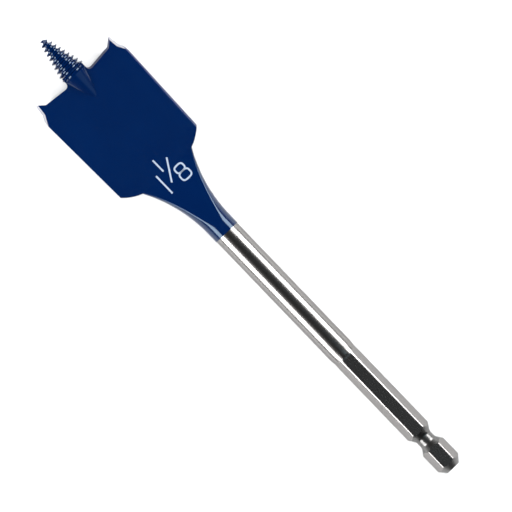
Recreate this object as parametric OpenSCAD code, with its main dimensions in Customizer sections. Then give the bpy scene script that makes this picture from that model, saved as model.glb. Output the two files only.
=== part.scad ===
// Spade drill bit for wood: a screw point, a flat blade with two spurs, a forged neck and a hexagon shank.
// The axis lies along X with the screw point at -X, and the blade lies flat, facing up.

/* [Overall] */
// Length from the screw point to the end of the shank
overall_l = 152.4; // [140:0.1:200]

/* [Lead screw] */
// Distance from the screw point to the last full thread crest
screw_l = 10.9; // [8:0.1:13]
// Thread pitch
screw_pitch = 1.27; // [1:0.01:1.6]
// Diameter over the crests at the point
screw_tip_d = 2.4; // [1.8:0.1:2.8]
// Diameter over the crests at the last full thread
screw_base_d = 7.5; // [7.1:0.1:7.7]
// Thread depth
screw_depth = 0.85; // [0.5:0.05:0.9]
// Flat width at the root of the thread
screw_root_flat = 0.32; // [0.2:0.01:0.4]
// Flat width at the crest of the thread
screw_crest_flat = 0.24; // [0.1:0.01:0.3]
// Turn of the thread's start about the axis, in degrees
screw_start = 340; // [0:5:355]

/* [Boss behind the screw] */
// Diameter of the boss where the screw runs out
boss_d = 6.6; // [6.2:0.1:6.8]
// Distance from the screw point to the thickest place of the boss
boss_x = 12.4; // [11.8:0.1:13]
// Distance from the screw point to where the boss fades into the blade
boss_end_x = 20; // [18:0.1:24]

/* [Blade] */
// Cutting diameter
blade_w = 28.575; // [25:0.005:34]
// Thickness of the blade
blade_t = 2.4; // [2:0.1:3]
// Distance from the screw point to the rear corners of the blade
blade_l = 42.9; // [38:0.1:44]
// Distance from the screw point to the notch between shoulder and neck
notch_x = 46.35; // [45.5:0.05:48]
// Radius of the rounded shoulders
shoulder_r = 8; // [7:0.1:12]
// Back taper of each side, in degrees
side_taper = 1.5; // [0.5:0.1:2.5]
// Clearance angle of each side, in degrees
side_relief = 10; // [4:0.5:14]

/* [Cutting edges] */
// Distance from the screw point to the inner end of the cutting edges
edge_x = 13.4; // [13.2:0.1:14.5]
// Forward lean of the cutting edges towards the spurs, in degrees
edge_lean = 5; // [2:0.5:7]
// Clearance angle behind the cutting edges, in degrees
edge_relief = 15; // [8:0.5:18]
// Half width of the tongue that carries the screw
tongue_half_w = 3.3; // [3.1:0.05:3.5]
// Radius of the gullet beside the tongue
gullet_r = 1.1; // [0.8:0.05:1.4]

/* [Spurs] */
// Distance from the screw point to the spur tips
spur_x = 11.15; // [10.6:0.05:11.8]
// Distance of a spur tip inside the cutting diameter
spur_inset = 1.24; // [0.8:0.02:1.6]
// Distance of the spur root inside the spur tip
spur_root = 2.2; // [1.8:0.1:3]
// Outward lean of the spur flank, in degrees
spur_lean = 6; // [3:0.5:9]
// Length of the spur flank ahead of the flare
spur_flank_l = 3.05; // [2.4:0.05:3.6]
// Angle of the flare out to the full width, in degrees
flare_angle = 28; // [20:1:40]
// Bevel angle on both faces of the spur flank, in degrees
spur_bevel = 28; // [18:1:34]

/* [Neck] */
// Diameter of the neck where it is round
neck_d = 7.5; // [7.4:0.05:7.8]
// Radius of the neck's outline
neck_r = 39; // [34:1:60]
// Distance from the screw point to where the neck is fully round
neck_x = 65.5; // [62:0.1:70]
// Length of the round end of the neck, up to the edge of the paint
neck_round_l = 3; // [1.5:0.1:5]
// Angle that the forged faces take up on each side of the round end's top and bottom, in degrees
neck_face_angle = 14; // [10:1:18]
// How the neck thickens: 1 is an even slope, and more keeps it thin for longer
neck_slope = 1.35; // [1.2:0.05:2]
// Height of the crown on the forged faces
neck_crown_h = 0.02; // [0.015:0.005:0.03]

/* [Shank] */
// Diameter of the round shank
shank_d = 7.25; // [7.1:0.05:7.3]
// Length of the hexagon end
hex_l = 42.1; // [36:0.1:50]
// Width across the flats
hex_af = 6.35; // [6.1:0.05:6.5]
// Diameter over the hexagon's turned corners
hex_corner_d = 7.06; // [6.9:0.02:7.1]
// Length of the taper from the round shank to the corners
hex_taper_l = 2.9; // [1.5:0.1:3.5]
// Radius of the run-out at the start of each flat
runout_r = 2; // [1.5:0.1:4]
// Distance of the ball groove from the end of the shank
groove_from_end = 10.2; // [9:0.1:11]
// Smallest diameter in the ball groove
groove_d = 4.6; // [4.2:0.1:5]
// Length of the floor of the ball groove
groove_floor_l = 1.25; // [0.8:0.05:1.6]
// Radius between the floor and the flanks of the ball groove
groove_blend_r = 1.2; // [0.8:0.1:1.6]
// Slope of the ball groove's flanks, in degrees
groove_slope = 33; // [30:1:40]
// Length of the end chamfer
chamfer_l = 1.9; // [1:0.1:2.4]
// Diameter of the end face
end_face_d = 4.1; // [3.4:0.1:5]

/* [Hidden] */

$fn = 96;
blade_colour = "midnightblue";
steel_colour = "silver";

// Small depth by which joined forms run into each other
overlap = 0.4;
// Depth by which a ground form passes a neighbouring surface, so that the two cross at an angle
undercut = 0.06;
// Reach of the cutting forms past the steel that they remove
reach = blade_w;

// The bit lies on the forged face at the round end of the neck
neck_face_h = neck_d / 2 * cos(neck_face_angle);
axis_h = neck_face_h + neck_crown_h;
half_w = blade_w / 2;
half_t = blade_t / 2;

// Lead screw: the surface is a grid that follows the helix
turn_steps = 36;
screw_taper = (screw_base_d - screw_tip_d) / 2 / screw_l;
screw_point_l = screw_pitch / 8;
screw_end_x = boss_x + screw_pitch;
crest_share = screw_crest_flat / screw_pitch;
flank_share = (1 - screw_root_flat / screw_pitch - crest_share) / 2;
profile_at = [0, flank_share, flank_share + crest_share, 2 * flank_share + crest_share];
profile_height = [0, 1, 1, 0];
profile_steps = len(profile_at);
root_min_r = 0.1;
screw_turns = floor((screw_end_x - screw_point_l) / screw_pitch) - 1;
fade_l = boss_x - screw_l;

// Spur outline at the middle of the blade's thickness
spur_tip = [spur_x, half_w - spur_inset];
flank_end = spur_tip + spur_flank_l * [cos(spur_lean), sin(spur_lean)];
flare_end_x = flank_end[0] + (half_w - flank_end[1]) / tan(flare_angle);

// Blade outline
corner_y = half_w - (blade_l - flare_end_x) * tan(side_taper);
notch_y = neck_half_w(notch_x);
shoulder_chord = norm([notch_x - blade_l, corner_y - notch_y]);
shoulder_away = sqrt(pow(shoulder_r, 2) - pow(shoulder_chord / 2, 2));
shoulder_normal = [corner_y - notch_y, notch_x - blade_l] / shoulder_chord;
shoulder_centre = ([blade_l, corner_y] + [notch_x, notch_y]) / 2 - shoulder_away * shoulder_normal;

// Front outline at the leading face
root_y = spur_tip[1] - spur_root;
edge_outer_x = edge_x - (root_y - tongue_half_w) * tan(edge_lean);
front_at_tip_x = spur_x - half_t * tan(edge_relief);

// Neck: the section keeps the bar's round edges between two crowned faces, which spread apart
neck_rings = 22;
neck_edge_steps = 14;
neck_crown_steps = 10;
neck_buried_l = 2.5;
neck_lead_l = 1.2;
neck_start_x = notch_x - neck_buried_l;
neck_blend_x = notch_x - neck_lead_l;
neck_end_x = neck_x + neck_round_l;

// Shank
hex_sides = 6;
hex_x = overall_l - hex_l;
groove_x = overall_l - groove_from_end;
groove_blend_steps = 6;

// Half width of the neck's outline at x
function neck_half_w(x) = neck_d / 2 + neck_r - sqrt(pow(neck_r, 2) - pow(max(neck_x - x, 0), 2));

// Half thickness of the neck at x, just under the blade's faces where it starts
function neck_half_t(x) =
    let (u = max(x - neck_blend_x, 0) / (neck_x - neck_blend_x))
    half_t - undercut + (neck_face_h - half_t + undercut) * pow(min(u, 1), neck_slope);

// Share of the thread's depth at x: it rises behind the point and runs out ahead of the boss
function thread_share(x) = min(1, max(0, x / screw_pitch), max(0, (boss_x - x) / fade_l));

// Radius of the screw's root cone at x, which draws in again inside the boss
function root_radius(x) =
    let (
        crest_r = min(screw_tip_d / 2 + screw_taper * x, boss_d / 2 + screw_depth),
        inside_l = max(0, x - boss_x)
    ) max(root_min_r, crest_r - screw_depth - inside_l);

// Point on the screw's surface for one step of the thread's section and one step of the turn
function screw_point(step, turn) =
    let (
        place = step % profile_steps,
        pitches = floor(step / profile_steps) + profile_at[place] + turn / turn_steps,
        x = screw_point_l + screw_pitch * pitches,
        radius = root_radius(x) + screw_depth * thread_share(x) * profile_height[place],
        angle = screw_start + 360 * turn / turn_steps
    ) [x, radius * cos(angle), radius * sin(angle)];

// Half of the ring at x: a round edge and then a crowned face, as [across, up] points
function neck_half_ring(x) =
    let (
        edge_r = neck_d / 2,
        side = neck_half_w(x) - edge_r,
        edge_span = asin(neck_half_t(x) / edge_r),
        face_half_w = side + edge_r * cos(edge_span)
    ) concat(
        [for (step = [0 : neck_edge_steps])
            let (angle = edge_span * (2 * step / neck_edge_steps - 1))
            [side + edge_r * cos(angle), edge_r * sin(angle)]],
        [for (step = [1 : neck_crown_steps - 1])
            let (across = 1 - 2 * step / neck_crown_steps)
            [face_half_w * across, neck_half_t(x) + neck_crown_h * (1 - pow(across, 2))]]
    );

// Closed ring of a flat section with round edges, in the plane at x
function neck_ring(x) =
    [for (turn = [1, -1], point = neck_half_ring(x)) [x, turn * point[0], turn * point[1]]];

// Half of the ball groove's section from its floor up past the corners, as [along, radius] points
function groove_half() =
    let (
        blend = [for (step = [0 : groove_blend_steps])
            let (angle = groove_slope * step / groove_blend_steps)
            [groove_floor_l / 2 + groove_blend_r * sin(angle),
                groove_d / 2 + groove_blend_r * (1 - cos(angle))]],
        foot = blend[groove_blend_steps],
        top_r = shank_d / 2 + overlap
    ) concat(blend, [[foot[0] + (top_r - foot[1]) / tan(groove_slope), top_r]]);

// Solid through a list of equal closed rings
module loft(rings) {
    count = len(rings[0]);
    last = len(rings) - 1;
    polyhedron(
        points = [for (ring = rings, point = ring) point],
        faces = concat(
            [[for (k = [0 : count - 1]) k]],
            [for (i = [0 : last - 1], k = [0 : count - 1])
                [i * count + k, (i + 1) * count + k, (i + 1) * count + (k + 1) % count]],
            [for (i = [0 : last - 1], k = [0 : count - 1])
                [i * count + k, (i + 1) * count + (k + 1) % count, i * count + (k + 1) % count]],
            [[for (k = [count - 1 : -1 : 0]) last * count + k]]
        )
    );
}

// Turned form about the bit's axis, from a section of [x, radius]
module turned() {
    rotate([0, 90, 0])
        rotate_extrude()
            rotate([0, 0, 90])
                mirror([0, 1, 0])
                    children();
}

// Both halves of a form, half a turn apart about the bit's axis
module both_sides() {
    children();
    rotate([180, 0, 0]) children();
}

// Tapered screw point with a narrow-crested right-hand thread
module lead_screw() {
    steps = screw_turns * profile_steps;
    grid = [for (step = [0 : steps], turn = [0 : turn_steps - 1]) screw_point(step, turn)];
    point_index = len(grid);
    base_index = point_index + 1;
    function at(step, turn) =
        turn < turn_steps
            ? step * turn_steps + turn
            : (step + profile_steps) * turn_steps + turn - turn_steps;
    polyhedron(
        points = concat(grid, [[0, 0, 0], [screw_end_x, 0, 0]]),
        faces = concat(
            [for (step = [0 : steps - 1], turn = [0 : turn_steps - 1])
                if (turn < turn_steps - 1 || step + 1 + profile_steps <= steps)
                    each [
                        [at(step, turn), at(step + 1, turn), at(step + 1, turn + 1)],
                        [at(step, turn), at(step + 1, turn + 1), at(step, turn + 1)]
                    ]],
            [for (turn = [0 : turn_steps - 1]) [point_index, at(0, turn), at(0, turn + 1)]],
            [for (step = [profile_steps : -1 : 1]) [point_index, at(step, 0), at(step - 1, 0)]],
            [for (turn = [0 : turn_steps - 2]) [base_index, at(steps, turn + 1), at(steps, turn)]],
            [for (step = [steps - profile_steps : steps - 1])
                [base_index, at(step, turn_steps - 1), at(step + 1, turn_steps - 1)]],
            [[base_index, at(steps, 0), at(steps - profile_steps, turn_steps - 1)]]
        )
    );
}

// Cone that joins the screw to the faces of the blade
module boss() {
    turned()
        polygon([
            [boss_x - overlap, 0],
            [boss_x - overlap, boss_d / 2 - overlap],
            [boss_x, boss_d / 2],
            [boss_end_x, half_t - undercut],
            [boss_end_x, 0]
        ]);
}

// Outline of the blade before its front and sides are ground
module blade_outline() {
    intersection() {
        polygon([
            [front_at_tip_x, -half_w],
            [flare_end_x, -half_w],
            [blade_l, -corner_y],
            [notch_x, -corner_y],
            [notch_x + overlap, 0],
            [notch_x, corner_y],
            [blade_l, corner_y],
            [flare_end_x, half_w],
            [front_at_tip_x, half_w]
        ]);
        union() {
            translate([shoulder_centre[0] - 2 * reach, -reach]) square([2 * reach, 2 * reach]);
            for (side = [-1, 1])
                translate([shoulder_centre[0], side * shoulder_centre[1]]) circle(shoulder_r);
            translate([0, -shoulder_centre[1]]) square([notch_x + overlap, 2 * shoulder_centre[1]]);
        }
    }
}

// Everything ahead of one cutting edge, its gullet and its spur, leaning back by the clearance angle
module front_cut() {
    lean_scale = cos(edge_relief);
    function leaned(point) = [(point[0] - edge_x) * lean_scale, point[1]];
    gullet = [-gullet_r + undercut, tongue_half_w + gullet_r - undercut];
    translate([edge_x, 0, -half_t])
        rotate([0, edge_relief, 0])
            translate([0, 0, -reach / 2])
                linear_extrude(reach) {
                    polygon([
                        [-reach, tongue_half_w],
                        [gullet[0], tongue_half_w],
                        [gullet[0], gullet[1]],
                        [0, gullet[1]],
                        leaned([edge_outer_x, root_y]),
                        leaned([front_at_tip_x, spur_tip[1]]),
                        [-reach, spur_tip[1]]
                    ]);
                    translate(gullet) circle(gullet_r);
                }
}

// Steel outside a ridge line that starts at a point, beveled towards both faces of the blade
module ridge_cut(start, angle) {
    bevel_run = reach / 2 * tan(spur_bevel);
    translate([start[0], start[1], 0])
        rotate([0, 0, angle])
            rotate([90, 0, 90])
                translate([0, 0, -reach])
                    linear_extrude(2 * reach)
                        polygon([
                            [0, 0],
                            [-bevel_run, reach / 2],
                            [reach, reach / 2],
                            [reach, -reach / 2],
                            [-bevel_run, -reach / 2]
                        ]);
}

// Steel outside the spur's flank and the flare behind it
module spur_cut() {
    intersection() {
        ridge_cut(spur_tip, spur_lean);
        ridge_cut(flank_end, flare_angle);
    }
}

// Steel outside one side of the blade, tapered back and leaning in from the leading face
module side_cut() {
    translate([flare_end_x, half_w, -half_t])
        rotate([0, 0, -side_taper])
            rotate([side_relief, 0, 0])
                translate([-reach, 0, -reach / 2])
                    cube([3 * reach, reach, reach]);
}

// Flat blade with ground cutting edges, spurs and sides
module blade() {
    difference() {
        translate([0, 0, -half_t])
            linear_extrude(blade_t)
                blade_outline();
        both_sides() {
            front_cut();
            spur_cut();
            side_cut();
        }
    }
}

// Forged neck between the flat blade and the round shank
module neck() {
    loft(concat(
        [for (i = [0 : neck_rings])
            neck_ring(neck_start_x + (neck_x - neck_start_x) * i / neck_rings)],
        [neck_ring(neck_end_x)]
    ));
}

// Section of the shank before its flats are cut
module shank_section() {
    groove = groove_half();
    groove_last = len(groove) - 1;
    difference() {
        polygon([
            [neck_x, 0],
            [neck_x, shank_d / 2],
            [hex_x, shank_d / 2],
            [hex_x + hex_taper_l, hex_corner_d / 2],
            [overall_l - chamfer_l, hex_corner_d / 2],
            [overall_l, end_face_d / 2],
            [overall_l, 0]
        ]);
        translate([groove_x, 0])
            polygon(concat(
                [for (step = [groove_last : -1 : 0]) [-groove[step][0], groove[step][1]]],
                groove
            ));
    }
}

// Steel above one flat, with a round run-out at its start
module flat_cut() {
    flat_x = hex_x + hex_taper_l;
    translate([flat_x, -reach / 2, hex_af / 2]) cube([hex_l, reach, reach]);
    translate([flat_x, 0, hex_af / 2 + runout_r - undercut / 2])
        rotate([90, 0, 0])
            cylinder(h = reach, r = runout_r, center = true);
}

// Round shank with the hexagon end and its ball groove
module shank() {
    difference() {
        turned() shank_section();
        for (turn = [0 : hex_sides - 1])
            rotate([360 / hex_sides * turn, 0, 0]) flat_cut();
    }
}

// The whole bit, forged and ground from one bar
module spade_bit() {
    translate([-overall_l / 2, 0, axis_h])
        union() {
            color(blade_colour) {
                lead_screw();
                boss();
                blade();
                neck();
            }
            color(steel_colour) shank();
        }
}

spade_bit();
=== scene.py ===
from math import acos, asin, copysign, cos, pi, radians, sin, sqrt, tan

import bmesh
import bpy
from mathutils import Matrix, Vector


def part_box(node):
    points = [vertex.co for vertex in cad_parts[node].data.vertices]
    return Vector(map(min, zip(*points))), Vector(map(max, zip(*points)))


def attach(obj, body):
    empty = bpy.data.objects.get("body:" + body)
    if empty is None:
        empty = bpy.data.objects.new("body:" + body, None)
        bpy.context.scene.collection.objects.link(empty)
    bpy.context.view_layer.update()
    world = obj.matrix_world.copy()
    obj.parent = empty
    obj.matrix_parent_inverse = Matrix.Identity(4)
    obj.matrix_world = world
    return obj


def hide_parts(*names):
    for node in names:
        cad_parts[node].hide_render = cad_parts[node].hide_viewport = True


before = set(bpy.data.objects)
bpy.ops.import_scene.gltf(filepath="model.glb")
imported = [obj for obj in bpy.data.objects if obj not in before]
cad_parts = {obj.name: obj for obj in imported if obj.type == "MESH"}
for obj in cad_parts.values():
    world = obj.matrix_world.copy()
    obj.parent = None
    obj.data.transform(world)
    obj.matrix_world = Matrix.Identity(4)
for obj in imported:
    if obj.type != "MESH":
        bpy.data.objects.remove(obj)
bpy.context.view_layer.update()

NODE = "spade_bit"
MM = 0.001
low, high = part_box(NODE)

# Sizes are in millimetres, and places along the bit count from the screw point
LENGTH = (high.x - low.x) / MM

# Neck, whose lower crown lies on the plane z 0
NECK_D = 7.5
NECK_FACE_ANGLE = radians(14)
NECK_CROWN_H = 0.02
NECK_FACE_H = NECK_D / 2 * cos(NECK_FACE_ANGLE)
NECK_R = 39.0
NECK_SLOPE = 1.35
NECK_CORNER_R = 0.4
NECK_X = 65.5
NECK_END_X = 68.5
# How far ahead of the notch the neck's form starts, and from where it thickens
NECK_ROOT_L = 2.5
NECK_THICKENS_L = 1.2

TIP_X = low.x
AXIS_Z = (NECK_FACE_H + NECK_CROWN_H) * MM

# Lead screw
SCREW_L = 10.9
SCREW_PITCH = 1.27
SCREW_TIP_R = 1.2
SCREW_BASE_R = 3.75
SCREW_DEPTH = 0.85
SCREW_CORE_R = 0.1
SCREW_ROOT_FLAT = 0.32
SCREW_CREST_FLAT = 0.24
SCREW_START = radians(340)
SCREW_POINT_L = SCREW_PITCH / 8
# At the point: share of the thread's depth, bevel of the thread and the root's share of that bevel
TIP_THREAD = 0.55
TIP_BEVEL_L = 0.05
TIP_ROOT_SHARE = 0.4

# Boss behind the screw
BOSS_R = 3.3
BOSS_X = 12.4
BOSS_END_X = 20.0
BOSS_END_CUT = 0.05
BOSS_FILLET = 0.03
BOSS_FILLET_L = 2

# Blade
HALF_W = 28.575 / 2
HALF_T = 1.2
BLADE_L = 43.2
NOTCH_X = 46.35
SHOULDER_R = 13
SIDE_TAPER = radians(1.5)
SIDE_RELIEF = radians(10)

# Cutting edges
EDGE_X = 13.4
EDGE_LEAN = radians(5)
EDGE_RELIEF = radians(15)
TONGUE_HALF_W = 3.3
GULLET_R = 1.1

# Spurs
SPUR_TIP = Vector((11.15, HALF_W - 1.24))
SPUR_ROOT_Y = SPUR_TIP.y - 2.2
SPUR_LEAN = radians(6)
SPUR_FLANK_L = 3.05
FLARE_ANGLE = radians(28)
SPUR_BEVEL = radians(28)
SPUR_LAND = 0.02
FLANK_END = SPUR_TIP + SPUR_FLANK_L * Vector((cos(SPUR_LEAN), sin(SPUR_LEAN)))
FLARE_END_X = FLANK_END.x + (HALF_W - FLANK_END.y) / tan(FLARE_ANGLE)

# Round shank, with its swell and step ahead of the hexagon
SHANK_R = 3.625
SWELL_L = 7
SWELL_H = 0.03
STEP_L = 2
STEP_R = 3.47

# Hexagon end, with the ball groove and the end chamfer
HEX_L = 42.1
HEX_HALF_AF = 6.35 / 2
HEX_BAR_R = 3.56
HEX_CORNER_FILLET = 0.88
HEX_TAPER_L = 2.9
RUNOUT_R = 2.0
RUNOUT_H = 0.9
GROOVE_FROM_END = 10.2
GROOVE_FLOOR_R = 2.3
GROOVE_FLOOR_L = 1.25
GROOVE_BLEND_R = 1.2
GROOVE_SLOPE = radians(33)
# Turned faces from this far ahead of the groove's middle get a darker steel, painted shade in the groove and
# on the end chamfer
GROOVE_SHADE_L = 6.0
CHAMFER_L = 1.9
END_FACE_R = 2.05

# How far cutters pass the steel, and how far joined forms run into each other
PAST = 6.0
CUTTER_H = 3 * HALF_T
OVERLAP = 0.4
SINK = 0.06
FOOT_SINK = SINK / 10

# Steps of the round forms
ROUND_STEPS = 128
ARC_STEPS = 24
GULLET_STEPS = 12
SCREW_STEPS = 48
BOSS_STEPS = 24
FOOT_STEPS = 5
NECK_PULLS = 44
NECK_EDGE_STEPS = 28
NECK_CROWN_STEPS = 16
NECK_CORNER_STEPS = 5
SHANK_RINGS = 4
HEX_CORNER_STEPS = 10
RUNOUT_STEPS = 14
STROKE_STEPS = 16
LOOP_STEPS = 48

# Edges: which ones are rounded, how wide, and which stay crisp in shading
SHARP_ANGLE = radians(18)
SOFT_EDGE_W = 0.08
SOFT_EDGE_STEPS = 3
EDGE_MARGIN = 0.1
CRISP_ANGLE = radians(24)
FLAT_EDGE_ANGLE = radians(1)
# Faces larger than this, in square millimetres, count as flats
FLAT_AREA = 4.0
# Faces that point along the axis more than this are end faces
END_FACE_SHARE = 0.99
MERGE_DISTANCE = MM * 0.001

# Printed size: width of its strokes, thickness of the ink and its rise over the coat
STROKE_W = 0.44
INK_T = 0.03
INK_RISE = 0.012
# Ends of its straight strokes as (along, across), then middles and half sizes of its loops
WHOLE_ONE = ((45.5, -3.1), (51.6, -3.1))
SMALL_ONE = ((41.95, -0.92), (45.95, -0.9))
FRACTION_LINE = ((43.85, 2.2), (49.45, -1.3))
EIGHT_TOP = ((48.18, 2.68), 1.0, 1.32)
EIGHT_FOOT = ((50.36, 2.7), 1.18, 1.5)
LOOP_POWER = 3.2


def place(x, y, z):
    """Point of the scene for a place on the bit: along from the screw point, across, and up from the axis."""
    return Vector((TIP_X + x * MM, y * MM, AXIS_Z + z * MM))


AXIS_POINT = place(0, 0, 0)


# Modelling steps

def choose(piece):
    """Makes a piece the active one and the only one selected."""
    bpy.ops.object.select_all(action="DESELECT")
    bpy.context.view_layer.objects.active = piece
    piece.select_set(True)


def start_piece(name, point):
    """Starts a piece as a single vertex and leaves it in edit mode."""
    bpy.ops.object.select_all(action="DESELECT")
    bpy.ops.mesh.primitive_plane_add(size=MM, location=point)
    piece = bpy.context.active_object
    piece.name = name
    piece.data.name = name
    bpy.ops.object.mode_set(mode="EDIT")
    bpy.ops.mesh.merge(type="CENTER")
    return piece


def draw_line(name, points):
    """Draws a chain of edges through the points."""
    piece = start_piece(name, points[0])
    for here, there in zip(points, points[1:]):
        bpy.ops.mesh.extrude_vertices_move(TRANSFORM_OT_translate={"value": there - here})
    bpy.ops.mesh.select_all(action="SELECT")
    return piece


def end_piece(piece):
    """Merges doubles, turns the faces outwards and puts the piece's place into its mesh."""
    bpy.ops.mesh.select_all(action="SELECT")
    bpy.ops.mesh.remove_doubles(threshold=MERGE_DISTANCE)
    bpy.ops.mesh.normals_make_consistent(inside=False)
    bpy.ops.object.mode_set(mode="OBJECT")
    bpy.ops.object.transform_apply(location=True, rotation=True, scale=True)
    return piece


def prism(name, points, along):
    """Closed outline pulled along a vector."""
    piece = draw_line(name, points)
    bpy.ops.mesh.edge_face_add()
    bpy.ops.mesh.extrude_region_move(TRANSFORM_OT_translate={"value": along})
    return end_piece(piece)


def turned(name, section):
    """Section of (along, radius) points spun about the bit's axis."""
    piece = draw_line(name, [place(x, radius, 0) for x, radius in section])
    bpy.ops.mesh.spin(steps=ROUND_STEPS, angle=2 * pi, center=AXIS_POINT, axis=(1, 0, 0))
    return end_piece(piece)


def pull_to(piece, here, there, move):
    """Pulls what is selected by a move, and then sets each of its points on the next ring."""
    bpy.ops.mesh.extrude_region_move(TRANSFORM_OT_translate={"value": move})
    mesh = bmesh.from_edit_mesh(piece.data)
    for vertex in mesh.verts:
        if vertex.select:
            start = piece.matrix_world @ vertex.co - move
            nearest = min(range(len(here)), key=lambda k: (here[k] - start).length_squared)
            vertex.co = piece.matrix_world.inverted() @ there[nearest]
    bmesh.update_edit_mesh(piece.data)


def pulled(name, rings):
    """Closed ring filled and pulled through the next rings."""
    piece = draw_line(name, rings[0])
    bpy.ops.mesh.edge_face_add()
    for here, there in zip(rings, rings[1:]):
        pull_to(piece, here, there, Vector((there[0].x - here[0].x, 0, 0)))
    return end_piece(piece)


def combine(piece, other, operation):
    """Applies a boolean with another piece and removes that piece."""
    choose(piece)
    step = piece.modifiers.new(operation.lower(), "BOOLEAN")
    step.operation = operation
    step.solver = "EXACT"
    step.material_mode = "TRANSFER"
    step.object = other
    bpy.ops.object.modifier_apply(modifier=step.name)
    bpy.data.objects.remove(other)
    return piece


def half_turn(piece):
    """Adds a copy of a cutter half a turn about the bit's axis."""
    choose(piece)
    bpy.ops.object.mode_set(mode="EDIT")
    bpy.ops.mesh.select_all(action="SELECT")
    bpy.ops.mesh.duplicate()
    bpy.ops.transform.rotate(value=pi, orient_axis="X", center_override=AXIS_POINT)
    bpy.ops.object.mode_set(mode="OBJECT")
    return piece


def soften_edges(piece, chosen):
    """Rounds the sharp edges whose two end points both pass the test."""
    choose(piece)
    bpy.ops.object.mode_set(mode="EDIT")
    bpy.ops.mesh.select_mode(type="EDGE")
    bpy.ops.mesh.select_all(action="DESELECT")
    mesh = bmesh.from_edit_mesh(piece.data)
    for edge in mesh.edges:
        if edge.calc_face_angle(0) > SHARP_ANGLE and all(chosen(vertex.co) for vertex in edge.verts):
            edge.select_set(True)
    bmesh.update_edit_mesh(piece.data)
    bpy.ops.mesh.bevel(offset=SOFT_EDGE_W * MM, segments=SOFT_EDGE_STEPS)
    bpy.ops.mesh.select_mode(type="VERT")
    bpy.ops.object.mode_set(mode="OBJECT")
    return piece


def give(piece, material):
    """Gives a piece one material all over."""
    piece.data.materials.clear()
    piece.data.materials.append(material)
    return piece


# Materials

# Stretch of the marks along, across and up: even, turned, ground along and cut across
EVEN = (1, 1, 1)
TURNED = (60, 2, 2)
GROUND = (12, 60, 60)
CUT_ACROSS = (60, 2, 60)


def new_material(name):
    """New material with its nodes, links and shader."""
    material = bpy.data.materials.new(name)
    material.use_nodes = True
    nodes = material.node_tree.nodes
    return material, nodes, material.node_tree.links, nodes["Principled BSDF"]


def noise_on_bit(nodes, links, stretch, scale, detail=4.0):
    """Noise on the bit's own coordinates, stretched along its axes."""
    coordinates = nodes.new("ShaderNodeTexCoord")
    mapping = nodes.new("ShaderNodeMapping")
    mapping.inputs["Scale"].default_value = stretch
    noise = nodes.new("ShaderNodeTexNoise")
    noise.inputs["Scale"].default_value = scale
    noise.inputs["Detail"].default_value = detail
    links.new(coordinates.outputs["Object"], mapping.inputs["Vector"])
    links.new(mapping.outputs["Vector"], noise.inputs["Vector"])
    return noise


def ramp_between(nodes, links, source, low_value, high_value, start=0.3, end=0.7):
    """Ramp from one colour to another over the middle of the source's range."""
    ramp = nodes.new("ShaderNodeValToRGB")
    ramp.color_ramp.elements[0].position = start
    ramp.color_ramp.elements[1].position = end
    ramp.color_ramp.elements[0].color = low_value
    ramp.color_ramp.elements[1].color = high_value
    links.new(source, ramp.inputs["Fac"])
    return ramp


def bump_from(nodes, links, source, strength, distance):
    """Bump that rises with the source."""
    bump = nodes.new("ShaderNodeBump")
    bump.inputs["Strength"].default_value = strength
    bump.inputs["Distance"].default_value = distance
    links.new(source, bump.inputs["Height"])
    return bump


def blue_coat():
    """Glossy dark blue coat with a faint orange peel."""
    dark, light = (0.0, 0.0075, 0.047, 1), (0.0, 0.0088, 0.053, 1)
    material, nodes, links, shader = new_material("blue_coat")
    tone = noise_on_bit(nodes, links, EVEN, scale=90)
    colour = ramp_between(nodes, links, tone.outputs["Fac"], dark, light)
    links.new(colour.outputs["Color"], shader.inputs["Base Color"])
    peel = noise_on_bit(nodes, links, EVEN, scale=1400, detail=2)
    bump = bump_from(nodes, links, peel.outputs["Fac"], strength=0.05, distance=0.0001)
    links.new(bump.outputs["Normal"], shader.inputs["Normal"])
    shader.inputs["Roughness"].default_value = 0.13
    shader.inputs["Specular IOR Level"].default_value = 0.5
    shader.inputs["Specular Tint"].default_value = (0.62, 0.82, 1.0, 1)
    return material


def steel(name, stretch, scale, tones, roughness, bump_strength=0.05, grazing=(1, 1, 1)):
    """Bare steel with fine tool marks that run the way the stretch gives, tinted at grazing angles."""
    material, nodes, links, shader = new_material(name)
    shader.inputs["Metallic"].default_value = 1.0
    shader.inputs["Specular Tint"].default_value = grazing + (1,)
    marks = noise_on_bit(nodes, links, stretch, scale)
    colour = ramp_between(nodes, links, marks.outputs["Fac"], *[tone + (1,) for tone in tones])
    links.new(colour.outputs["Color"], shader.inputs["Base Color"])
    greys = [(value,) * 3 + (1,) for value in roughness]
    rough = ramp_between(nodes, links, marks.outputs["Fac"], *greys)
    links.new(rough.outputs["Color"], shader.inputs["Roughness"])
    bump = bump_from(nodes, links, marks.outputs["Fac"], bump_strength, distance=0.00002)
    links.new(bump.outputs["Normal"], shader.inputs["Normal"])
    return material


def pale_print():
    """Pale bluish printing ink, matt and a little uneven."""
    dark, light = (0.27, 0.33, 0.43, 1), (0.32, 0.38, 0.48, 1)
    material, nodes, links, shader = new_material("pale_print")
    tone = noise_on_bit(nodes, links, EVEN, scale=3000, detail=2)
    colour = ramp_between(nodes, links, tone.outputs["Fac"], dark, light)
    links.new(colour.outputs["Color"], shader.inputs["Base Color"])
    shader.inputs["Roughness"].default_value = 0.6
    return material


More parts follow.
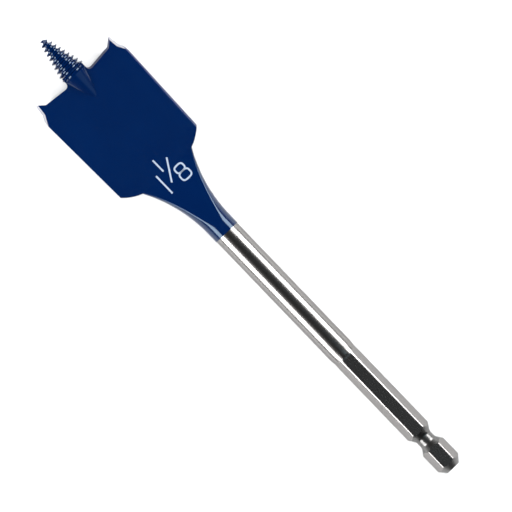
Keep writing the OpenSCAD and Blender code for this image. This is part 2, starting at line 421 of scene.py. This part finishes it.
COAT = blue_coat()
TURNED_STEEL = steel(
    "turned_steel",
    TURNED,
    scale=140,
    tones=((0.255, 0.246, 0.242), (0.265, 0.256, 0.252)),
    roughness=(0.248, 0.252),
    bump_strength=0.01,
    grazing=(0.7, 0.7, 0.7),
)
GROUND_STEEL = steel(
    "ground_steel",
    GROUND,
    scale=120,
    tones=((0.260, 0.250, 0.246), (0.278, 0.267, 0.263)),
    roughness=(0.265, 0.275),
    bump_strength=0.03,
    grazing=(0.8, 0.8, 0.8),
)
# Darker copy of the turned steel for the groove and the end chamfer: painted shade
GROOVE_SHADE_STEEL = steel(
    "groove_shade_steel",
    TURNED,
    scale=140,
    tones=((0.15, 0.148, 0.146), (0.18, 0.178, 0.175)),
    roughness=(0.28, 0.34),
)
# Brighter, bluish copy of the ground steel for the spurs' flanks: painted highlight for the bright band along
# them
SPUR_HIGHLIGHT_STEEL = steel(
    "spur_highlight_steel",
    GROUND,
    scale=120,
    tones=((0.38, 0.38, 0.42), (0.44, 0.44, 0.48)),
    roughness=(0.2, 0.26),
)
# Very dark bluish copy of the steel for the blade's side faces: painted shade, darkened for the shaded floor
# they mirror, with a lilac tint at grazing angles
SHADED_SIDE_STEEL = steel(
    "shaded_side_steel",
    CUT_ACROSS,
    scale=60,
    tones=((0.030, 0.034, 0.060), (0.042, 0.047, 0.080)),
    roughness=(0.2, 0.3),
    grazing=(0.31, 0.34, 0.6),
)
# Dark copy of the steel for the cutting lips, the gullets and the spurs' insides: painted shade
SHADED_LIP_STEEL = steel(
    "shaded_lip_steel",
    CUT_ACROSS,
    scale=60,
    tones=((0.070, 0.072, 0.080), (0.090, 0.092, 0.100)),
    roughness=(0.2, 0.3),
    grazing=(0.46, 0.47, 0.58),
)
INK = pale_print()


# Sections that the forms follow

def arc(centre, radius, start, end, steps=ARC_STEPS):
    """Points of an arc as (x, y) pairs, angles in radians."""
    turns = [start + (end - start) * k / steps for k in range(steps + 1)]
    return [(centre[0] + radius * cos(a), centre[1] + radius * sin(a)) for a in turns]


def neck_half_w(x):
    """Half width of the neck, which sweeps out towards the blade."""
    away = max(NECK_X - x, 0)
    return NECK_D / 2 + NECK_R - sqrt(NECK_R ** 2 - away ** 2)


def neck_half_t(x):
    """Half thickness of the neck at its faces' edges, growing from the blade to the shank."""
    blend_x = NOTCH_X - NECK_THICKENS_L
    u = min(max(x - blend_x, 0) / (NECK_X - blend_x), 1)
    return HALF_T - SINK + (NECK_FACE_H - HALF_T + SINK) * u ** NECK_SLOPE


# Blade

def shoulder_points(corner_y):
    """Arc of the rounded shoulder from the rear corner to the notch."""
    corner = Vector((BLADE_L, corner_y))
    notch = Vector((NOTCH_X, neck_half_w(NOTCH_X)))
    chord = notch - corner
    outward = Vector((-chord.y, chord.x)).normalized()
    away = sqrt(SHOULDER_R ** 2 - (chord.length / 2) ** 2)
    centre = (corner + notch) / 2 - away * outward
    start = (corner - centre).angle_signed(Vector((1, 0)))
    end = (notch - centre).angle_signed(Vector((1, 0)))
    return arc(centre, SHOULDER_R, start, end)


def blade_blank():
    """Flat blank with its rounded shoulders, before grinding."""
    front_x = SPUR_TIP.x - HALF_T * tan(EDGE_RELIEF)
    corner_y = HALF_W - (BLADE_L - FLARE_END_X) * tan(SIDE_TAPER)
    one_side = [(front_x, HALF_W), (FLARE_END_X, HALF_W)] + shoulder_points(corner_y)
    outline = one_side + [(NOTCH_X + OVERLAP, 0)] + [(x, -y) for x, y in reversed(one_side)]
    bottom = [place(x, y, -HALF_T) for x, y in outline]
    return prism("blade", bottom, Vector((0, 0, 2 * HALF_T * MM)))


def front_cutter():
    """Room ahead of one cutting edge with its gullet and the inside of its spur."""
    lean = tan(EDGE_RELIEF)
    front_x = SPUR_TIP.x - HALF_T * lean
    inside_y = SPUR_TIP.y - SPUR_LAND
    gullet = (EDGE_X - GULLET_R, TONGUE_HALF_W + GULLET_R)
    edge_outer_x = EDGE_X - (SPUR_ROOT_Y - TONGUE_HALF_W) * tan(EDGE_LEAN)
    outline = [(-PAST, TONGUE_HALF_W)]
    outline += arc(gullet, GULLET_R, -pi / 2, 0, GULLET_STEPS)
    outline += [(edge_outer_x, SPUR_ROOT_Y), (front_x, inside_y), (-PAST, inside_y)]
    bottom = -CUTTER_H
    start = [place(x + lean * (bottom + HALF_T), y, bottom) for x, y in outline]
    height = -2 * bottom
    return prism("front_cutter", start, Vector((lean * height * MM, 0, height * MM)))


def ridge_cutter(name, start, angle):
    """Room outside a ridge line, beveled towards both faces."""
    forward = Vector((cos(angle), sin(angle)))
    outward = Vector((-sin(angle), cos(angle)))
    rise = CUTTER_H
    run = rise * tan(SPUR_BEVEL)
    section = [(0, 0), (-run, rise), (PAST, rise), (PAST, -rise), (-run, -rise)]
    back = start - 2 * PAST * forward
    points = [place(back.x + out * outward.x, back.y + out * outward.y, up) for out, up in section]
    return prism(name, points, Vector((forward.x, forward.y, 0)) * 4 * PAST * MM)


def side_cutter():
    """Room outside one side, tapered back and leaning in from the leading face."""
    forward = Vector((cos(SIDE_TAPER), -sin(SIDE_TAPER), 0))
    lean = sin(SIDE_RELIEF)
    up = Vector((-lean * sin(SIDE_TAPER), -lean * cos(SIDE_TAPER), cos(SIDE_RELIEF)))
    out = up.cross(forward).normalized()
    start = Vector((FLARE_END_X, HALF_W, -HALF_T)) - PAST * forward - PAST * up
    corners = [start, start + PAST * out, start + PAST * out + 2 * PAST * up, start + 2 * PAST * up]
    return prism("side_cutter", [place(*corner) for corner in corners], forward * 8 * PAST * MM)


def blade():
    """Blade ground to its cutting edges, spurs and sides, with soft edges along the sides."""
    piece = give(blade_blank(), COAT)
    # The spurs' flanks get the brighter steel: painted highlight
    flank = give(ridge_cutter("flank_cutter", SPUR_TIP, SPUR_LEAN), SPUR_HIGHLIGHT_STEEL)
    flare = give(ridge_cutter("flare_cutter", FLANK_END, FLARE_ANGLE), SPUR_HIGHLIGHT_STEEL)
    spur = combine(flank, flare, "INTERSECT")
    # The lips, gullets and spurs' insides get the dark steel: painted shade
    combine(piece, half_turn(give(front_cutter(), SHADED_LIP_STEEL)), "DIFFERENCE")
    combine(piece, half_turn(spur), "DIFFERENCE")
    # The sides get the very dark steel: painted shade
    combine(piece, half_turn(give(side_cutter(), SHADED_SIDE_STEEL)), "DIFFERENCE")
    sides_start = place(FLARE_END_X - EDGE_MARGIN, 0, 0).x
    sides_end = place(NOTCH_X - EDGE_MARGIN, 0, 0).x
    return soften_edges(piece, lambda point: sides_start < point.x < sides_end)


# Neck

def rounded_corner(start, corner, end):
    """Points of a soft corner between two lines that meet."""
    points = []
    for k in range(NECK_CORNER_STEPS + 1):
        s = k / NECK_CORNER_STEPS
        shares = ((1 - s) ** 2, 2 * s * (1 - s), s ** 2)
        points.append(tuple(
            shares[0] * a + shares[1] * c + shares[2] * b for a, c, b in zip(start, corner, end)
        ))
    return points


def neck_ring(x):
    """Section of the neck as (across, up) points: round edges, soft corners and two crowned faces."""
    edge_r = NECK_D / 2
    half_t = neck_half_t(x)
    side = neck_half_w(x) - edge_r
    span = asin(half_t / edge_r)
    face_half_w = side + edge_r * cos(span)
    corner_turn = NECK_CORNER_R / edge_r
    edge = arc((side, 0), edge_r, -span + corner_turn, span - corner_turn, NECK_EDGE_STEPS)
    crown_w = face_half_w - NECK_CORNER_R
    crown = []
    for k in range(NECK_CROWN_STEPS + 1):
        y = crown_w * (1 - 2 * k / NECK_CROWN_STEPS)
        crown.append((y, half_t + NECK_CROWN_H * (1 - (y / face_half_w) ** 2)))
    lower = rounded_corner((crown[0][0], -crown[0][1]), (face_half_w, -half_t), edge[0])
    upper = rounded_corner(edge[-1], (face_half_w, half_t), crown[0])
    half = lower + edge[1:-1] + upper + crown[1:-1]
    return half + [(-y, -z) for y, z in half]


def neck():
    """Section pulled from the flat blade to the round shank, and shaped again at each pull."""
    start_x = NOTCH_X - NECK_ROOT_L
    stations = [start_x + (NECK_X - start_x) * k / NECK_PULLS for k in range(NECK_PULLS + 1)]
    stations.append(NECK_END_X)
    rings = [[place(x, y, z) for y, z in neck_ring(x)] for x in stations]
    return give(pulled("neck", rings), COAT)


# Screw and boss

def screw_point(x, angle, height):
    """Point of the tapered thread, between its root at height 0 and its crest at height 1."""
    taper = (SCREW_BASE_R - SCREW_TIP_R) / SCREW_L
    x = max(x, TIP_BEVEL_L * (TIP_ROOT_SHARE + height))
    runout = max(0, (BOSS_X - x) / (BOSS_X - SCREW_L))
    share = min(1, max(TIP_THREAD, x / SCREW_PITCH), runout)
    crest_r = min(SCREW_TIP_R + taper * x, BOSS_R + SCREW_DEPTH)
    root = crest_r - SCREW_DEPTH - max(0, x - BOSS_X)
    radius = max(SCREW_CORE_R, root) + SCREW_DEPTH * share * height
    return place(x, radius * cos(angle), radius * sin(angle))


def lead_screw():
    """Thread section swept round the axis, stepping back and outwards with the taper."""
    end_x = BOSS_X + SCREW_PITCH
    turns = int((end_x - SCREW_POINT_L) / SCREW_PITCH) - 1
    crest = SCREW_CREST_FLAT / SCREW_PITCH
    flank = (1 - SCREW_ROOT_FLAT / SCREW_PITCH - crest) / 2
    profile = [(0, 0), (flank, 1), (flank + crest, 1), (2 * flank + crest, 0), (1, 0)]

    mesh = bmesh.new()
    rows = []
    for k in range(-SCREW_STEPS // 2, turns * SCREW_STEPS + 1):
        angle = SCREW_START + 2 * pi * k / SCREW_STEPS
        start = SCREW_POINT_L + SCREW_PITCH * k / SCREW_STEPS
        points = [screw_point(start + SCREW_PITCH * at, angle, height) for at, height in profile]
        rows.append([mesh.verts.new(point) for point in points])
    for here, there in zip(rows, rows[1:]):
        for a, b, c, d in zip(here, here[1:], there[1:], there):
            mesh.faces.new((a, b, c, d))
    bmesh.ops.remove_doubles(mesh, verts=mesh.verts, dist=MERGE_DISTANCE)
    open_edges = [e for e in mesh.edges if e.is_boundary]
    middle = place(end_x / 2, 0, 0).x
    for tip, edges in (
        (place(0, 0, 0), [e for e in open_edges if e.verts[0].co.x < middle]),
        (place(end_x, 0, 0), [e for e in open_edges if e.verts[0].co.x >= middle]),
    ):
        point = mesh.verts.new(tip)
        for edge in edges:
            mesh.faces.new((edge.verts[0], edge.verts[1], point))
    bmesh.ops.recalc_face_normals(mesh, faces=mesh.faces)
    data = bpy.data.meshes.new("lead_screw")
    mesh.to_mesh(data)
    mesh.free()
    piece = bpy.data.objects.new("lead_screw", data)
    bpy.context.scene.collection.objects.link(piece)
    return give(piece, COAT)


def boss_ring(x):
    """Section of the boss as (across, up) points: round top and bottom, filleted into the blade's faces."""
    radius = BOSS_R + (HALF_T - BOSS_R) * (x - BOSS_X) / (BOSS_END_X - BOSS_X)
    fillet = BOSS_FILLET * min(1, (x - BOSS_X + 2 * OVERLAP) / BOSS_FILLET_L)
    foot_z = HALF_T - FOOT_SINK
    foot_y = sqrt((radius + fillet) ** 2 - (foot_z + fillet) ** 2)
    start = acos((foot_z + fillet) / (radius + fillet))
    foot = []
    for k in range(FOOT_STEPS + 1):
        a = start * (k / FOOT_STEPS)
        foot.append((foot_y - fillet * sin(a), foot_z + fillet - fillet * cos(a)))
    turns = [start * (1 - 2 * k / BOSS_STEPS) for k in range(BOSS_STEPS + 1)]
    top = [(radius * sin(a), radius * cos(a)) for a in turns]
    half = [(foot_y, 0)] + foot + top[1:-1] + [(-y, z) for y, z in reversed(foot)]
    return half + [(-y, -z) for y, z in half]


def boss():
    """Round boss behind the screw, sloping down to the blade."""
    end_x = BOSS_END_X - BOSS_END_CUT
    stations = [BOSS_X + (end_x - BOSS_X) * k / BOSS_STEPS for k in range(BOSS_STEPS + 1)]
    piece = pulled("boss", [[place(x, y, z) for y, z in boss_ring(x)] for x in stations])
    lead = [
        (BOSS_X - OVERLAP, 0),
        (BOSS_X - OVERLAP, BOSS_R - OVERLAP),
        (BOSS_X - SINK / 2, BOSS_R - SINK / 2),
        (BOSS_X + OVERLAP, BOSS_R - OVERLAP),
        (BOSS_X + OVERLAP, 0),
    ]
    return give(combine(piece, turned("boss_lead", lead), "UNION"), COAT)


# Shank

def groove_points(groove_x):
    """Section of the ball groove as (along, radius) points: flat floor, round blends and sloped walls."""
    blend_centre = (GROOVE_FLOOR_L / 2, GROOVE_FLOOR_R + GROOVE_BLEND_R)
    half = arc(blend_centre, GROOVE_BLEND_R, -pi / 2, -pi / 2 + GROOVE_SLOPE)
    foot_x, foot_r = half[-1]
    half.append((foot_x + (HEX_BAR_R - foot_r) / tan(GROOVE_SLOPE), HEX_BAR_R))
    return [(groove_x - x, r) for x, r in reversed(half)] + [(groove_x + x, r) for x, r in half]


def shank_blank():
    """Round bar turned with the swell, the step, the groove and the end chamfer."""
    groove_x = LENGTH - GROOVE_FROM_END
    hex_x = LENGTH - HEX_L
    swell_x = hex_x - SWELL_L
    round_l = swell_x - NECK_X
    section = [(NECK_X, 0)]
    section += [(NECK_X + round_l * k / SHANK_RINGS, SHANK_R) for k in range(SHANK_RINGS + 1)]
    section.append((hex_x, SHANK_R + SWELL_H))
    section += [(hex_x + STEP_L, STEP_R), (hex_x + HEX_TAPER_L + STEP_L, HEX_BAR_R)]
    section += groove_points(groove_x)
    section += [(LENGTH - CHAMFER_L, HEX_BAR_R), (LENGTH, END_FACE_R), (LENGTH, 0)]
    piece = give(turned("shank", section), TURNED_STEEL)
    # The groove's and the chamfer's faces get the darker steel: painted shade
    piece.data.materials.append(GROOVE_SHADE_STEEL)
    shade_from = place(groove_x, 0, 0).x - GROOVE_SHADE_L * MM
    for face in piece.data.polygons:
        if face.center.x > shade_from and abs(face.normal.x) < END_FACE_SHARE:
            face.material_index = 1
    return piece


def hex_ring(rise):
    """Hexagon with two level flats and filleted corners, opened out by a rise, as (across, up) points."""
    reach = (HEX_HALF_AF + rise - HEX_CORNER_FILLET) / cos(pi / 6)
    points = []
    for k in range(6):
        turn = k * pi / 3
        centre = (reach * cos(turn), reach * sin(turn))
        points += arc(centre, HEX_CORNER_FILLET, turn - pi / 6, turn + pi / 6, HEX_CORNER_STEPS)
    return points


def flats_form():
    """Hexagon pulled forwards from the end, opened out at its start so that each flat runs out round."""
    flat_x = LENGTH - HEX_L + HEX_TAPER_L
    runout_angle = acos(1 - RUNOUT_H / RUNOUT_R)
    stations = [(LENGTH + PAST, 0)]
    for k in range(RUNOUT_STEPS + 1):
        a = runout_angle * k / RUNOUT_STEPS
        stations.append((flat_x - RUNOUT_R * sin(a), RUNOUT_R * (1 - cos(a))))
    stations.append((NECK_X - PAST, RUNOUT_H))
    rings = [[place(x, y, z) for y, z in hex_ring(rise)] for x, rise in stations]
    return give(pulled("flats_form", rings), GROUND_STEEL)


def shank():
    """Turned bar with its end ground to the hexagon."""
    return combine(shank_blank(), flats_form(), "INTERSECT")


# Size mark

def face_height(x, y):
    """Height of the blade's or the neck's upper face above the axis."""
    side = neck_half_w(x) - NECK_D / 2
    face_half_w = side + NECK_D / 2 * cos(asin(neck_half_t(x) / (NECK_D / 2)))
    crown = NECK_CROWN_H * (1 - min(1, abs(y) / face_half_w) ** 2)
    return max(HALF_T, neck_half_t(x) + crown)


def stroke(name, path, closed=False):
    """Printed stroke of even width along (along, across) points, pulled step by step over the face."""
    half_w = STROKE_W / 2
    count = len(path)
    edges = []
    for k in range(count):
        before = Vector(path[(k - 1) % count] if closed else path[max(k - 1, 0)])
        after = Vector(path[(k + 1) % count] if closed else path[min(k + 1, count - 1)])
        out = (after - before).normalized().orthogonal()
        here = Vector(path[k])
        ends = [here + half_w * out, here - half_w * out]
        edges.append([place(p.x, p.y, face_height(p.x, p.y) + INK_RISE) for p in ends])
    if closed:
        edges.append(edges[0])
    piece = draw_line(name, edges[0])
    for here, there in zip(edges, edges[1:]):
        pull_to(piece, here, there, (there[0] + there[1] - here[0] - here[1]) / 2)
    bpy.ops.mesh.select_all(action="SELECT")
    bpy.ops.mesh.remove_doubles(threshold=MERGE_DISTANCE)
    bpy.ops.mesh.extrude_region_move(TRANSFORM_OT_translate={"value": (0, 0, -INK_T * MM)})
    return end_piece(piece)


def straight(start, end):
    """Even points along a line."""
    start, end = Vector(start), Vector(end)
    return [tuple(start.lerp(end, k / STROKE_STEPS)) for k in range(STROKE_STEPS + 1)]


def rounded_loop(centre, half_x, half_y):
    """Points of a rounded loop, squarer with a higher power."""
    points = []
    for k in range(LOOP_STEPS):
        a = 2 * pi * k / LOOP_STEPS
        c, s = cos(a), sin(a)
        points.append((
            centre[0] + half_x * copysign(abs(c) ** (2 / LOOP_POWER), c),
            centre[1] + half_y * copysign(abs(s) ** (2 / LOOP_POWER), s),
        ))
    return points


def size_mark():
    """Printed cutting size, read with the screw point up."""
    strokes = [
        stroke("size_mark", straight(*WHOLE_ONE)),
        stroke("small_one", straight(*SMALL_ONE)),
        stroke("fraction_line", straight(*FRACTION_LINE)),
        stroke("eight_top", rounded_loop(*EIGHT_TOP), closed=True),
        stroke("eight_foot", rounded_loop(*EIGHT_FOOT), closed=True),
    ]
    bpy.ops.object.select_all(action="DESELECT")
    for piece in strokes:
        piece.select_set(True)
    bpy.context.view_layer.objects.active = strokes[0]
    bpy.ops.object.join()
    mark = give(strokes[0], INK)
    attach(mark, "root")
    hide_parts(NODE)
    return mark


# Whole bit

def crisp_flats(piece):
    """Keeps the ground and forged flats flat in shading, up to their edges."""
    mesh = bmesh.new()
    mesh.from_mesh(piece.data)
    for edge in mesh.edges:
        if len(edge.link_faces) == 2:
            turn = edge.calc_face_angle(0)
            largest = max(face.calc_area() for face in edge.link_faces)
            beside_flat = turn > FLAT_EDGE_ANGLE and largest > FLAT_AREA * MM ** 2
            if turn > CRISP_ANGLE or beside_flat:
                edge.smooth = False
    for face in mesh.faces:
        face.smooth = True
    mesh.to_mesh(piece.data)
    mesh.free()


def whole_bit():
    """All the forms joined into one piece of steel."""
    piece = blade()
    combine(piece, neck(), "UNION")
    combine(piece, shank(), "UNION")
    combine(piece, boss(), "UNION")
    combine(piece, lead_screw(), "UNION")
    crisp_flats(piece)
    piece.name = "forged_bit"
    piece.data.name = "forged_bit"
    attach(piece, "root")
    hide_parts(NODE)
    return piece


whole_bit()
size_mark()


# Studio, in metres
FLOOR_SIZE = 4
FLOOR_TONE = (0.92, 0.92, 0.92, 1)
FLOOR_ROUGHNESS = 0.9
SOFTBOX_X = -0.17
SOFTBOX_DISTANCE = 0.6
SOFTBOX_RISE = radians(31.5)
SOFTBOX_SIZE = (0.56, 0.315)
SOFTBOX_BRIGHTNESS = 8.5
REAR_PLACE = (0.42, 0.44, 0.66)
REAR_SIZE = (0.5, 1.0)
REAR_BRIGHTNESS = 0.36
REAR_COLOUR = (0.65, 0.89, 1.0)
FILL_PLACE = (0, 0, 2.5)
FILL_SIZE = (0.8, 0.8)
FILL_BRIGHTNESS = 12
ROOM_BRIGHTNESS = 0.032


def studio_floor():
    """Pale matt floor under the bit's lowest point."""
    bpy.ops.object.select_all(action="DESELECT")
    bpy.ops.mesh.primitive_plane_add(size=FLOOR_SIZE, location=(0, 0, low.z))
    floor = bpy.context.active_object
    floor.name = "studio_floor"
    material, nodes, links, shader = new_material("pale_floor")
    shader.inputs["Base Color"].default_value = FLOOR_TONE
    shader.inputs["Roughness"].default_value = FLOOR_ROUGHNESS
    shader.inputs["Specular IOR Level"].default_value = 0.0
    give(floor, material)


def softbox(name, position, size, brightness):
    """Rectangular softbox that faces the bit's line squarely, as bright all over as the value given."""
    light = bpy.data.lights.new(name, "AREA")
    light.shape = "RECTANGLE"
    light.size, light.size_y = size
    light.energy = 4 * brightness * size[0] * size[1]
    box = bpy.data.objects.new(name, light)
    box.location = position
    towards = Vector((0, -position[1], -position[2]))
    box.rotation_euler = towards.to_track_quat("-Z", "Y").to_euler()
    bpy.context.scene.collection.objects.link(box)
    return box


def studio_lights():
    """Two softboxes beside the bit's front, a weak cool light behind the shank, and a high fill.

    The fill is not mirrored in the steel, and the room is dark.
    """
    for name, side in (("softbox_right", 1), ("softbox_left", -1)):
        across = side * SOFTBOX_DISTANCE * cos(SOFTBOX_RISE)
        up = SOFTBOX_DISTANCE * sin(SOFTBOX_RISE)
        softbox(name, (SOFTBOX_X, across, up), SOFTBOX_SIZE, SOFTBOX_BRIGHTNESS)
    rear = softbox("rear_light", REAR_PLACE, REAR_SIZE, REAR_BRIGHTNESS)
    rear.data.color = REAR_COLOUR
    fill = softbox("high_fill", FILL_PLACE, FILL_SIZE, FILL_BRIGHTNESS)
    fill.visible_glossy = False
    world = bpy.data.worlds.new("studio")
    world.use_nodes = True
    background = world.node_tree.nodes["Background"]
    background.inputs["Color"].default_value = (1, 1, 1, 1)
    background.inputs["Strength"].default_value = ROOM_BRIGHTNESS
    bpy.context.scene.world = world


# Camera: straight down, turned so that the bit lies along the photo's diagonal
PHOTO_PX = 512
PX_PER_MM = 3.8915
BIT_DIRECTION_PX = Vector((410.92, 427.65)).normalized()
BIT_MIDDLE_PX = Vector((247.65, 254.03))
CAMERA_HEIGHT = 2.2


def camera():
    """Camera far above the bit, framed as the photo is."""
    data = bpy.data.cameras.new("camera")
    view = bpy.data.objects.new("camera", data)
    bpy.context.scene.collection.objects.link(view)
    frame_w = PHOTO_PX / PX_PER_MM * MM
    data.lens = data.sensor_width * CAMERA_HEIGHT / frame_w
    right = Vector((BIT_DIRECTION_PX.x, BIT_DIRECTION_PX.y, 0))
    up = Vector((-right.y, right.x, 0))
    shift = (Vector((PHOTO_PX / 2, PHOTO_PX / 2)) - BIT_MIDDLE_PX) / PX_PER_MM * MM
    aim = place(LENGTH / 2, 0, 0) + right * shift.x - up * shift.y
    turn = Matrix((right, up, Vector((0, 0, 1)))).transposed().to_4x4()
    view.matrix_world = Matrix.Translation(aim + Vector((0, 0, CAMERA_HEIGHT))) @ turn
    bpy.context.scene.camera = view


studio_floor()
studio_lights()
camera()
bpy.context.scene.view_settings.view_transform = "Standard"
